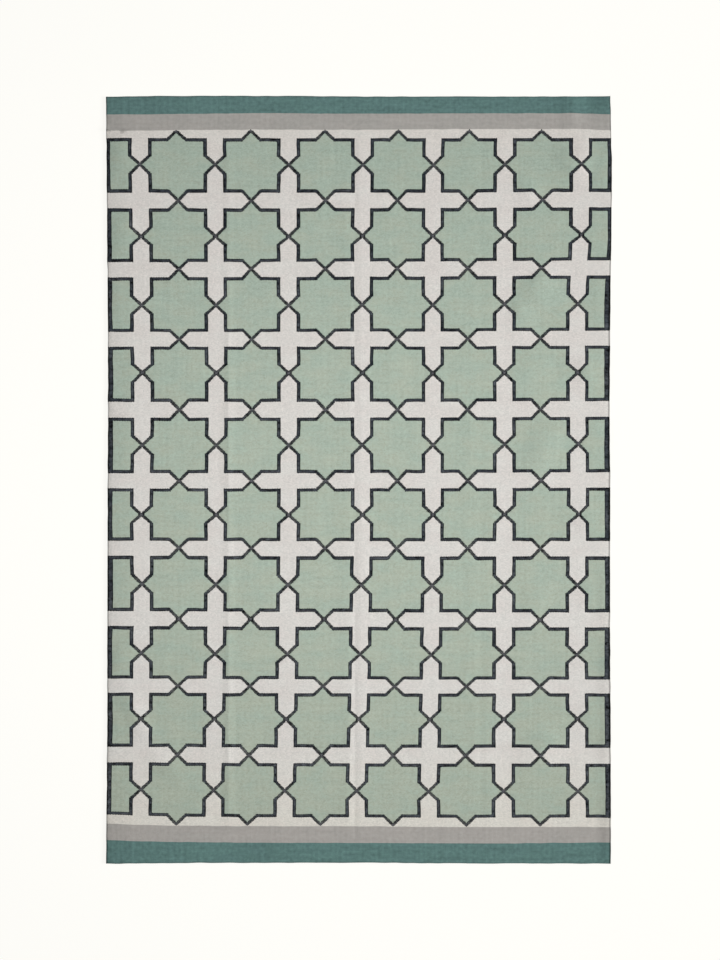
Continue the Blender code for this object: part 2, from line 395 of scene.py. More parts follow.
stripLines = [  # from the near end, row by row: the line inside the dark strip at both selvedges
    {"left": -1.8, "right": -1.1},
    {"left": 1.8, "right": -3.1},
    {"left": -0.2, "right": -3.1},
    {"left": 2.7, "right": -1.8},
    {"left": 0.2, "right": -2.6},
    {"left": 2.3, "right": -3.3},
    {"left": 2.6, "right": -3.7},
    {"left": 0.1, "right": -4.0},
    {"left": -0.7, "right": 4.9},
    {"left": -4.6, "right": 4.2},
]
cloth = {
    "thickness": 0.004,
    "rimRadius": 0.0018,  # wanted, but the shortest edges at the rim clamp the bevel to far less
    "rimSteps": 3,
    "rimAngle": 60,  # only edges sharper than this, in degrees, are bevelled
    "wobble": 0.0010,  # unevenness of the weaver's lines
    "wobbleSize": 0.030,
    "wobbleSlices": (4, 9),  # slices of the noise, for across and along
    "ripple": 0.0003,  # the cloth never lies quite flat
    "rippleSize": 0.045,
    "rippleSlice": 0.3,
    "creaseRadius": 0.0025,
    "foldFade": 0.080,  # a fold line dies away over this length
    "shoulder": 0.048,  # half the width over which the cloth rises beside a trough
    "creaseCuts": (-16, -8, -2.5, 0, 2.5, 8, 16),  # lines of points beside a crease, in millimetres
    "flatNormal": 0.97,  # faces that lean more than this may be the rim's
}
foldLines = [  # lines left by folding, in millimetres; the rug was folded in four along its length
    {"kind": "ridge", "across": -311, "start": -860, "end": 440, "near": 1.35, "far": 1.25, "half": 20},
    {"kind": "ridge", "across": -311, "start": 380, "end": 860, "near": 0.5, "far": 0.8, "half": 18},
    {"kind": "trough", "across": -10, "start": -890, "end": 860, "near": 0.9, "far": 0.75, "half": 14},
    {"kind": "trough", "across": 292, "start": -890, "end": 860, "near": 0.65, "far": 0.5, "half": 26},
]
swellings = [  # soft humps, in millimetres: middle of the crest, its turn in degrees, half its length,
    # the widths of the slopes on its right and left, and its rise
    {"x": 425, "y": 468, "turn": 36, "half": 62, "right": 90, "left": 32, "rise": 4.2},
    {"x": 382, "y": 408, "turn": 60, "half": 28, "right": 50, "left": 20, "rise": 2.2},
    {"x": 374, "y": 390, "turn": 82, "half": 70, "right": 60, "left": 26, "rise": 1.4},
    {"x": 405, "y": 262, "turn": 75, "half": 62, "right": 60, "left": 42, "rise": 1.8},
    {"x": 438, "y": 72, "turn": 68, "half": 104, "right": 46, "left": 56, "rise": 3.2},
    {"x": 425, "y": -290, "turn": 50, "half": 62, "right": 30, "left": 56, "rise": 2.4},
    {"x": 455, "y": -625, "turn": -35, "half": 58, "right": 140, "left": 34, "rise": 2.9},
    {"x": 546, "y": 255, "turn": 90, "half": 72, "right": 42, "left": 40, "rise": 2.4},
    {"x": 546, "y": 100, "turn": 90, "half": 48, "right": 42, "left": 36, "rise": 1.0},
    {"x": 545, "y": -85, "turn": 90, "half": 72, "right": 42, "left": 36, "rise": 1.5},
    {"x": 553, "y": -275, "turn": 90, "half": 50, "right": 26, "left": 40, "rise": 1.4},
    {"x": 550, "y": -570, "turn": 90, "half": 70, "right": 28, "left": 44, "rise": 1.4},
    {"x": 595, "y": -275, "turn": 90, "half": 90, "right": 30, "left": 28, "rise": 2.6},
    {"x": 595, "y": -450, "turn": 90, "half": 130, "right": 30, "left": 28, "rise": 2.8},
    {"x": 595, "y": -605, "turn": 90, "half": 120, "right": 30, "left": 28, "rise": 3.2},
    {"x": 603, "y": -840, "turn": 90, "half": 170, "right": 30, "left": 34, "rise": 4.2},
    {"x": 506, "y": 750, "turn": -38, "half": 64, "right": 24, "left": 80, "rise": 4.4},
    {"x": 410, "y": 696, "turn": 62, "half": 40, "right": 36, "left": 60, "rise": 2.6},
    {"x": 548, "y": 786, "turn": 96, "half": 60, "right": 20, "left": 38, "rise": 1.8},
    {"x": 586, "y": 752, "turn": 90, "half": 76, "right": 34, "left": 32, "rise": 2.2},
    {"x": 511, "y": 894, "turn": 90, "half": 92, "right": 28, "left": 40, "rise": 3.2},
    {"x": 612, "y": 920, "turn": 90, "half": 86, "right": 45, "left": 60, "rise": 7.0},
    {"x": -536, "y": -562, "turn": -64, "half": 108, "right": 26, "left": 40, "rise": 2.4},
    {"x": -460, "y": -682, "turn": -40, "half": 84, "right": 30, "left": 38, "rise": 2.0},
    {"x": -503, "y": -866, "turn": -25, "half": 108, "right": 38, "left": 42, "rise": 1.0},
    {"x": -573, "y": 780, "turn": 90, "half": 60, "right": 44, "left": 24, "rise": 1.3},
    {"x": -573, "y": 588, "turn": 90, "half": 66, "right": 44, "left": 24, "rise": 1.6},
    {"x": -573, "y": 410, "turn": 90, "half": 56, "right": 44, "left": 24, "rise": 1.0},
    {"x": -573, "y": -425, "turn": 90, "half": 56, "right": 44, "left": 22, "rise": 1.8},
]


def between(stations, place):  # straight lines between (place, value) pairs
    for (low, lowValue), (high, highValue) in zip(stations, stations[1:]):
        if place <= high:
            return lowValue + (highValue - lowValue) * (place - low) / (high - low)
    return stations[-1][1]


def rowValue(table, column, y):  # a row's value at its middle, blended from row to row
    first = design["fieldShift"] - (design["starsAlong"] - 1) * design["starAlong"] / 2
    stations = [(first + number * design["starAlong"], row[column]) for number, row in enumerate(table)]
    return between(stations, max(y, first))


def wovenAcross(x, y):  # how far the weaver's lines carry a point to the right, in millimetres
    partAlong = 0.5 + y / design["length"]
    halfWidth = design["width"] / 2
    strip = halfWidth - design["edgeOutline"]
    leans = {side: rowValue(starRows, lean, y) for side, lean in
             (("left", "leftLean"), ("middle", "lean"), ("right", "rightLean"))}
    stations = [
        (-halfWidth, -readTable(selvedges, "along", "left", partAlong)),
        (-strip, rowValue(stripLines, "left", y)),
    ]
    lines = [column["shift"] + sum(leans[side] * column[side] for side in leans) for column in starColumns]
    lastRow = (design["starsAlong"] - 1) * design["starAlong"] / 2
    lastTips = smoothPart((abs(y - design["fieldShift"]) - lastRow) / (design["starAlong"] / 2))
    for number, column in enumerate(starColumns):
        place = (number - design["starsAcross"] / 2) * design["starAcross"]
        stations.append((place, lines[number]))
        if number < design["starsAcross"]:
            middle = (lines[number] + lines[number + 1]) / 2 + column["stars"]
            middle += column["far" if y > 0 else "near"] * lastTips
            stations.append((place + design["starAcross"] / 2, middle))
    stations.append((strip, rowValue(stripLines, "right", y)))
    stations.append((halfWidth, readTable(selvedges, "along", "right", partAlong)))
    return between(stations, x)


def wovenAlong(x, y):  # how far they carry it towards the far end, in millimetres
    partAcross = 0.5 + x / design["width"]
    halfLength = design["length"] / 2
    start = design["fieldShift"] - design["starsAlong"] * design["starAlong"] / 2
    end = start + design["starsAlong"] * design["starAlong"]
    nearPlain, farPlain = start - design["endPlain"], end + design["endPlain"]
    bandShift = {line: readTable(bandLines, "across", line, partAcross) for line in bandLines[0]}
    rises = [
        ((number - design["starsAcross"] / 2) * design["starAcross"], column["rise"])
        for number, column in enumerate(starColumns)
    ]
    rise = between(rises, max(x, rises[0][0]))
    stations = [
        (-halfLength, -readTable(hems, "across", "near", partAcross)),
        (nearPlain - design["nearGrey"], bandShift["nearTeal"]),
        (nearPlain, bandShift["nearGrey"]),
    ]
    lastTilt = 0
    feet = bandShift["feet"]
    for number, row in enumerate(starRows):
        tilt = row["tilt"] * (partAcross - 0.5)
        place = start + number * design["starAlong"]
        stations.append((place, row["tips"] + rise * 0.5 + (tilt + lastTilt) / 2 + feet))
        stations.append((place + design["starAlong"] / 2, row["middle"] + rise + tilt))
        lastTilt, feet = tilt, 0
    stations += [
        (end, farTips),
        (farPlain, bandShift["farGrey"]),
        (farPlain + design["farGrey"], bandShift["farTeal"]),
        (halfLength, readTable(hems, "across", "far", partAcross)),
    ]
    return between(stations, y)


def hump(distance, half):
    part = min(abs(distance) / half, 1)
    return (1 - part * part) ** 2


def foldHeight(fold, x, y):
    start, end = fold["start"] * mm, fold["end"] * mm
    reach = smoothPart((y - start) / cloth["foldFade"]) * smoothPart((end - y) / cloth["foldFade"])
    rise = mm * (fold["near"] + (fold["far"] - fold["near"]) * (y - start) / (end - start))
    side = math.hypot(x - fold["across"] * mm, cloth["creaseRadius"]) - cloth["creaseRadius"]
    crease = max(0, 1 - side / (fold["half"] * mm)) ** 2
    if fold["kind"] == "ridge":
        return rise * reach * crease
    return rise * reach * hump(side, cloth["shoulder"]) * (1 - crease)


def swellHeight(swell, x, y):
    turn = math.radians(swell["turn"])
    fromX, fromY = x - swell["x"] * mm, y - swell["y"] * mm
    along = fromX * math.cos(turn) + fromY * math.sin(turn)
    left = fromY * math.cos(turn) - fromX * math.sin(turn)
    slope = swell["left"] if left > 0 else swell["right"]
    return swell["rise"] * mm * hump(along, swell["half"] * mm) * hump(left, slope * mm)


def clothHeight(x, y):  # underside of the cloth above the floor
    height = sum(foldHeight(fold, x, y) for fold in foldLines)
    height += sum(swellHeight(swell, x, y) for swell in swellings)
    ripple = noise.noise(Vector((x, y, cloth["rippleSlice"])) / cloth["rippleSize"])
    return height + cloth["ripple"] * (0.5 + 0.5 * ripple)


def markCloth(rug):  # cloth coordinates in metres, kept before the cloth is moved
    weave = rug.data.uv_layers.new(name="weave")
    for loop in rug.data.loops:
        point = rug.data.vertices[loop.vertex_index].co
        weave.data[loop.index].uv = (point.x, point.y)


def layCloth(rug):  # moves the even cloth to its real places and over its folds
    points = rug.data.vertices
    for point in points:
        x, y = point.co.x, point.co.y
        here = Vector((x, y, 0)) / cloth["wobbleSize"]
        wobbleAcross, wobbleAlong = (
            cloth["wobble"] * noise.noise(here + Vector((0, 0, cut))) for cut in cloth["wobbleSlices"]
        )
        point.co = (x + mm * wovenAcross(x, y) + wobbleAcross, y + mm * wovenAlong(x, y) + wobbleAlong, 0)
    middleX = (min(p.co.x for p in points) + max(p.co.x for p in points)) / 2
    middleY = (min(p.co.y for p in points) + max(p.co.y for p in points)) / 2
    for point in points:
        point.co.x -= middleX
        point.co.y -= middleY
    only(rug)
    bpy.ops.object.mode_set(mode="EDIT")
    for place in sorted({fold["across"] for fold in foldLines}):  # closer points along the creases
        for offset in cloth["creaseCuts"]:
            cutAll(((place + offset) * mm, 0, 0), (1, 0, 0))
    bpy.ops.object.mode_set(mode="OBJECT")
    for point in rug.data.vertices:
        point.co.z = cloth["thickness"] + clothHeight(point.co.x, point.co.y)


def thickenCloth(rug):
    only(rug)
    wall = rug.modifiers.new("wall", "SOLIDIFY")
    wall.thickness = cloth["thickness"]
    wall.offset = -1
    bpy.ops.object.modifier_apply(modifier=wall.name)
    rim = rug.modifiers.new("rim", "BEVEL")
    rim.width = cloth["rimRadius"]
    rim.segments = cloth["rimSteps"]
    rim.limit_method = "ANGLE"
    rim.angle_limit = math.radians(cloth["rimAngle"])
    bpy.ops.object.modifier_apply(modifier=rim.name)
    bpy.ops.object.shade_smooth()


def wrapRims(rug):  # carries the cloth coordinates on over the rims, so the yarns turn round them
    mesh = rug.data
    weave = mesh.uv_layers["weave"]
    halfWidth, halfLength = design["width"] / 2, design["length"] / 2
    for face in mesh.polygons:
        if abs(face.normal.z) > cloth["flatNormal"]:
            continue
        for loop in face.loop_indices:
            point = mesh.vertices[mesh.loops[loop].vertex_index].co
            place = weave.data[loop].uv
            depth = max(0, cloth["thickness"] + clothHeight(point.x, point.y) - point.z)
            fromSide, fromEnd = halfWidth - abs(place.x), halfLength - abs(place.y)
            if min(fromSide, fromEnd) > cloth["thickness"]:
                continue
            if fromSide < fromEnd:
                place.x += math.copysign(depth, place.x)
            else:
                place.y += math.copysign(depth, place.y)


# a second map with every face on its own spot, colours kept apart

bakeMap = {
    "top": (0.004, 0.004, 0.965),  # left, bottom and height of each region
    "topNavy": (0.655, 0.004, 0.330),
    "under": (0.655, 0.350, 0.400),
    "underNavy": (0.655, 0.765, 0.200),
    "bandGap": 0.003,  # keeps each band's colour clear of the next
    "rimStart": 0.974,  # four strips for the rims
    "rimStep": 0.0065,
    "rimHeight": 0.012,  # tallest rim, in metres
    "rimFill": 0.85,  # share of its strip that such a rim takes
    "rimNormal": 0.92,  # faces that lean more than this
    "rimPart": 0.99,  # beyond this share of the rug are the rim's
}


def layBakeMap(rug):
    mesh = rug.data
    spots = mesh.uv_layers.new(name="OFBake")
    weave = mesh.uv_layers["weave"]
    low = Vector(min(p.co[axis] for p in mesh.vertices) for axis in range(3))
    high = Vector(max(p.co[axis] for p in mesh.vertices) for axis in range(3))
    aspect = (high.x - low.x) / (high.y - low.y)
    navy = colourOrder.index("navy")
    for face in mesh.polygons:
        place = Vector((0.0, 0.0))
        for loop in face.loop_indices:
            place += weave.data[loop].uv
        place /= len(face.loop_indices)
        partOut = max(abs(place.x) * 2 / design["width"], abs(place.y) * 2 / design["length"])
        onRim = abs(face.normal.z) < bakeMap["rimNormal"] and partOut > bakeMap["rimPart"]
        region = "top" if onRim or face.normal.z > 0 else "under"
        if face.material_index == navy and not onRim:
            region += "Navy"
        left, bottom, height = bakeMap[region]
        bandsOut = {"grey": 1, "teal": 2}.get(bandAt(place.y), 0)
        for loop in face.loop_indices:
            point = mesh.vertices[mesh.loops[loop].vertex_index].co
            along = (point.y - low.y) / (high.y - low.y)
            across = (point.x - low.x) / (high.x - low.x)
            if onRim:
                side = abs(face.normal.x) > abs(face.normal.y)
                strip = (0 if place.x < 0 else 1) if side else (2 if place.y < 0 else 3)
                run = along if side else across * aspect
                climb = bakeMap["rimFill"] * point.z / bakeMap["rimHeight"]
                spot = (left + run * height, bakeMap["rimStart"] + (strip + climb) * bakeMap["rimStep"])
            else:
                rise = bandsOut * bakeMap["bandGap"] * (1 if place.y > 0 else -1) * height
                squeeze = 1 - 4 * bakeMap["bandGap"]
                spot = (
                    left + across * aspect * height,
                    bottom + (0.5 + (along - 0.5) * squeeze) * height + rise,
                )
            spots.data[loop].uv = spot
    weave.active_render = True


# yarns

yarns = {
    "pickPitch": 0.0014,  # weft rows
    "sway": 0.0012,  # wander of the ribs
    "rowSway": 0.00072,  # and of the rows
    "swaySize": 0.025,
    "pickDepth": 0.6,  # how much each row and each rib rounds off to its sides
    "ribDepth": 0.5,
    "fibre": {"across": 0.0012, "along": 0.0005, "height": 0.25, "fleck": 0.5, "gloss": 0.10},
    "bump": 0.0005,
    "bumpStrength": 0.8,
    "hollowShade": 0.907,  # painted shade: brightness between the yarns and how much lighter their crowns are painted
    "crownLight": 0.16,  # and how much their crowns add
    "joinWidth": 0.0033,  # how far the painted shade of a colour join reaches into the outline
    "innerJoin": 1.3,  # it reaches less far from the star's side, by this much
    "sheen": 0.01,
    "sheenRoughness": 0.6,
    "roughness": 0.84,
    "specular": 0.05,
    "paintedFalloffMiddle": (0.10, -0.02),  # painted shade: the sage is brightest about here, where the light is strongest and takes more and more painted shade between these distances from it
    "paintedFalloffReach": (0.35, 1.05),  # and less and less between these distances from it
    "lotDrift": 0.12,  # the far end has more of the darker shade, for each metre
    "lotFlecks": 0.3,  # single yarns are of the other shade
    "lotRange": (0.3, 0.7),
    # dyed cotton, linear colours: two shades of each lot, the strength of its streaks, the spread from
    # yarn to yarn, its painted falloff shade, and how much more than the rest its painted rim shade darkens
    "cream": {"light": (0.600, 0.588, 0.558), "dark": (0.580, 0.550, 0.522),
              "streak": 0.048, "fleck": 0.23, "paintedFalloff": 0, "edge": 0.8},
    "sage": {"light": (0.371, 0.412, 0.337), "dark": (0.335, 0.407, 0.343),
             "streak": 0.155, "fleck": 0.175, "paintedFalloff": 0.06, "edge": 1},
    "navy": {"light": (0.055, 0.060, 0.067), "dark": (0.022, 0.026, 0.032),
             "streak": 1.60, "fleck": 1.10, "paintedFalloff": 0, "edge": 2.5},
    "grey": {"light": (0.347, 0.328, 0.307), "dark": (0.321, 0.311, 0.291),
             "streak": 0.16, "fleck": 0.05, "paintedFalloff": 0, "edge": 1},
    "teal": {"light": (0.098, 0.179, 0.166), "dark": (0.096, 0.172, 0.165),
             "streak": 0.40, "fleck": 0.08, "paintedFalloff": 0, "edge": 1.5},
    # painted shade: near black in the slits where two colours join
    "paintedJoinShade": (0.001, 0.002, 0.004),
    "navySlant": (1.30, 1.22, 1.08),  # the slanted outlines are a little paler and greyer
    "slantReach": (0.022, 0.025),  # they run this far from their crossings
    "navyCrossing": (0.084, 0.084, 0.094),  # the yarns open a little where two outlines cross
    "crossingReach": (0.0012, 0.0045),
    "crossingFlecks": 0.9,
    "warmCream": (1.0, 0.992, 0.945),  # the cream has yellowed towards the ends
    "warmNear": (-0.62, -0.85),
    "warmFar": (0.74, 1.05),
}
streakKinds = [  # sizes of each kind of unevenness, and its part of a colour's streak
    {"across": 0.140, "along": 0.0085, "detail": 3, "part": 1.1},  # long streaks along the weft
    {"across": 0.0085, "along": 0.180, "detail": 2, "part": 0.9},  # faint lines along the warp
    {"across": 0.0095, "along": 0.0075, "detail": 4, "part": 2.0},  # slubs, a few picks high
]
lotGrain = {"across": 0.070, "along": 0.035, "detail": 3}  # patches of the two shades of a lot
paintedRimShade = [  # painted shade: how dark the selvedges and hems are, and from where to where they come back to full
    {"side": "right", "shade": 0.40, "from": 0.0020, "to": 0.0042},
    {"side": "left", "shade": 0.50, "from": 0.0018, "to": 0.0036},
    {"side": "far", "shade": 0.70, "from": 0.0010, "to": 0.0032},
    {"side": "near", "shade": 0.80, "from": 0.0010, "to": 0.0030},
]
paintedLeftShade = [{"side": "left", "shade": 0.93, "from": 0.0050, "to": 0.0600}]  # painted shade: a broad darker band along this side


def addNode(tree, kind, inputs=(), **settings):  # one node, its settings, and its inputs set or linked
    node = tree.nodes.new("ShaderNode" + kind)
    for name, value in settings.items():
        setattr(node, name, value)
    for slot, value in dict(inputs).items():
        if isinstance(value, bpy.types.NodeSocket):
            tree.links.new(value, node.inputs[slot])
        else:
            node.inputs[slot].default_value = value
    return node


def calc(tree, operation, *values):
    return addNode(tree, "Math", enumerate(values), operation=operation).outputs[0]


def grain(tree, place, across, along, detail):  # noise, 0 to 1, with its own sizes across and along
    scaled = addNode(tree, "Mapping", {"Vector": place, "Scale": (1 / across, 1 / along, 1)})
    inputs = {"Vector": scaled.outputs[0], "Scale": 1, "Detail": detail}
    return addNode(tree, "TexNoise", inputs).outputs["Fac"]


def ramp(tree, value, start, full):  # 0 up to the start, 1 from full on, whichever way they run
    return addNode(tree, "MapRange", {"Value": value, "From Min": start, "From Max": full}).outputs[0]


def blend(tree, part, first, second):
    node = addNode(tree, "Mix", data_type="RGBA")
    for slot, value in (("Factor_Float", part), ("A_Color", first), ("B_Color", second)):
        socket = next(socket for socket in node.inputs if socket.identifier == slot)
        if isinstance(value, bpy.types.NodeSocket):
            tree.links.new(value, socket)
        else:
            socket.default_value = (*value, 1)
    return next(socket for socket in node.outputs if socket.identifier == "Result_Color")


def starDistances(tree, x, y):  # metres outside the outline's outer edge, and outside its inner edge
    halfAcross, halfAlong = design["starAcross"] / 2, design["starAlong"] / 2
    bodyAcross = halfAcross - design["armUp"] / 2
    bodyAlong = halfAlong - design["armAcross"] / 2
    fromX = calc(tree, "SUBTRACT", halfAcross, calc(tree, "PINGPONG", x, halfAcross))
    shifted = calc(tree, "SUBTRACT", y, design["fieldShift"])
    fromY = calc(tree, "SUBTRACT", halfAlong, calc(tree, "PINGPONG", shifted, halfAlong))
    lastRow = (design["starsAlong"] - 1) * halfAlong
    fromY = calc(tree, "MAXIMUM", fromY, calc(tree, "SUBTRACT", calc(tree, "ABSOLUTE", shifted), lastRow))

    def tip(along, across, half, slope):  # distance from the middle line of a slanted outline
        reach = calc(tree, "MULTIPLY", calc(tree, "SUBTRACT", along, half), slope)
        return calc(tree, "DIVIDE", calc(tree, "ADD", across, reach), math.sqrt(1 + slope * slope))

    ends = tip(fromY, fromX, halfAlong, design["endSlope"])
    fieldEdge = design["starsAcross"] * halfAcross
    noEnds = calc(tree, "GREATER_THAN", calc(tree, "ABSOLUTE", x), fieldEdge)  # half stars have no end tips
    ends = calc(tree, "ADD", ends, noEnds)
    sides = tip(fromX, fromY, halfAcross, design["sideSlope"])
    nearMiddle = calc(tree, "LESS_THAN", fromX, bodyAcross * design["tipRoom"])
    sides = calc(tree, "ADD", sides, calc(tree, "MULTIPLY", noEnds, nearMiddle))
    tips = calc(tree, "MINIMUM", ends, sides)

    def edge(shrinkAcross, shrinkAlong, shrinkTips):
        besideX = calc(tree, "SUBTRACT", fromX, bodyAcross - shrinkAcross)
        besideY = calc(tree, "SUBTRACT", fromY, bodyAlong - shrinkAlong)
        body = calc(tree, "MAXIMUM", besideX, besideY)
        return calc(tree, "MINIMUM", body, calc(tree, "ADD", tips, shrinkTips))

    outer = edge(0, 0, -design["outlineSlant"] / 2)
    inner = edge(design["outlineUp"], design["outlineAcross"], design["outlineSlant"] / 2)
    strip = design["width"] / 2 - design["edgeOutline"]
    beyondStrip = calc(tree, "SUBTRACT", calc(tree, "ABSOLUTE", x), strip)
    return outer, calc(tree, "MAXIMUM", inner, beyondStrip)


def fromCrossing(tree, x, y):  # metres from the nearest crossing of two outlines
    halfAcross, halfAlong = design["starAcross"] / 2, design["starAlong"] / 2
    acrossPart = calc(tree, "PINGPONG", x, halfAcross)
    alongPart = calc(tree, "PINGPONG", calc(tree, "SUBTRACT", y, design["fieldShift"]), halfAlong)
    sideFar = addNode(tree, "CombineXYZ", {0: acrossPart, 1: calc(tree, "SUBTRACT", halfAlong, alongPart)})
    endFar = addNode(tree, "CombineXYZ", {0: calc(tree, "SUBTRACT", halfAcross, acrossPart), 1: alongPart})
    lengths = [
        addNode(tree, "VectorMath", {0: far.outputs[0]}, operation="LENGTH").outputs["Value"]
        for far in (sideFar, endFar)
    ]
    return calc(tree, "MINIMUM", *lengths)


def edgeShade(tree, x, y, table):  # painted shade: the colour darkens towards the selvedges and hems
    halfWidth, halfLength = design["width"] / 2, design["length"] / 2
    distances = {
        "right": calc(tree, "SUBTRACT", halfWidth, x),
        "left": calc(tree, "ADD", halfWidth, x),
        "far": calc(tree, "SUBTRACT", halfLength, y),
        "near": calc(tree, "ADD", halfLength, y),
    }
    shade = 1.0
    for margin in table:
        full = addNode(tree, "MapRange", {
            "Value": distances[margin["side"]],
            "From Min": margin["from"],
            "From Max": margin["to"],
            "To Min": margin["shade"],
        }).outputs[0]
        shade = calc(tree, "MULTIPLY", shade, full)
    return shade


def yarnShade(tree, place, colour, weave, flecks, edges):  # one dyed yarn: lots, streaks, slubs, flecks, and painted shade
    yarn = yarns[colour]
    y = addNode(tree, "SeparateXYZ", {0: place}).outputs["Y"]
    lot = calc(tree, "MULTIPLY_ADD", y, yarns["lotDrift"], grain(tree, place, **lotGrain))
    lot = calc(tree, "MULTIPLY_ADD", flecks, yarns["lotFlecks"], lot)
    tint = blend(tree, ramp(tree, lot, *yarns["lotRange"]), yarn["light"], yarn["dark"])
    if colour == "cream":
        ends = calc(tree, "MAXIMUM", ramp(tree, y, *yarns["warmNear"]), ramp(tree, y, *yarns["warmFar"]))
        warm = blend(tree, ends, (1, 1, 1), yarns["warmCream"])
        tint = addNode(tree, "VectorMath", {0: tint, 1: warm}, operation="MULTIPLY").outputs[0]
    shade = 1.0
    for kind in streakKinds:
        noisy = grain(tree, place, kind["across"], kind["along"], kind["detail"])
        spread = calc(tree, "SUBTRACT", noisy, 0.5)
        shade = calc(tree, "MULTIPLY_ADD", spread, yarn["streak"] * kind["part"], shade)
    shade = calc(tree, "MULTIPLY_ADD", flecks, yarn["fleck"], shade)
    # painted shade in the hollows between yarns, painted light on their crowns
    relief = calc(tree, "MULTIPLY_ADD", weave, yarns["crownLight"], yarns["hollowShade"])
    shade = calc(tree, "MULTIPLY", shade, relief)
    # painted shade at the rims, deeper on the yarns that take more of it
    shade = calc(tree, "MULTIPLY", shade, calc(tree, "POWER", edges, yarn["edge"]))
    # painted shade: the yarn darkens away from where the light is brightest
    if yarn["paintedFalloff"]:
        middle = (*yarns["paintedFalloffMiddle"], 0)
        away = addNode(tree, "VectorMath", {0: place, 1: middle}, operation="DISTANCE").outputs["Value"]
        awayFromLight = ramp(tree, away, *yarns["paintedFalloffReach"])
        shade = calc(tree, "MULTIPLY", shade, calc(tree, "MULTIPLY_ADD", awayFromLight, -yarn["paintedFalloff"], 1))
    return addNode(tree, "VectorMath", {0: tint, "Scale": shade}, operation="SCALE").outputs[0]


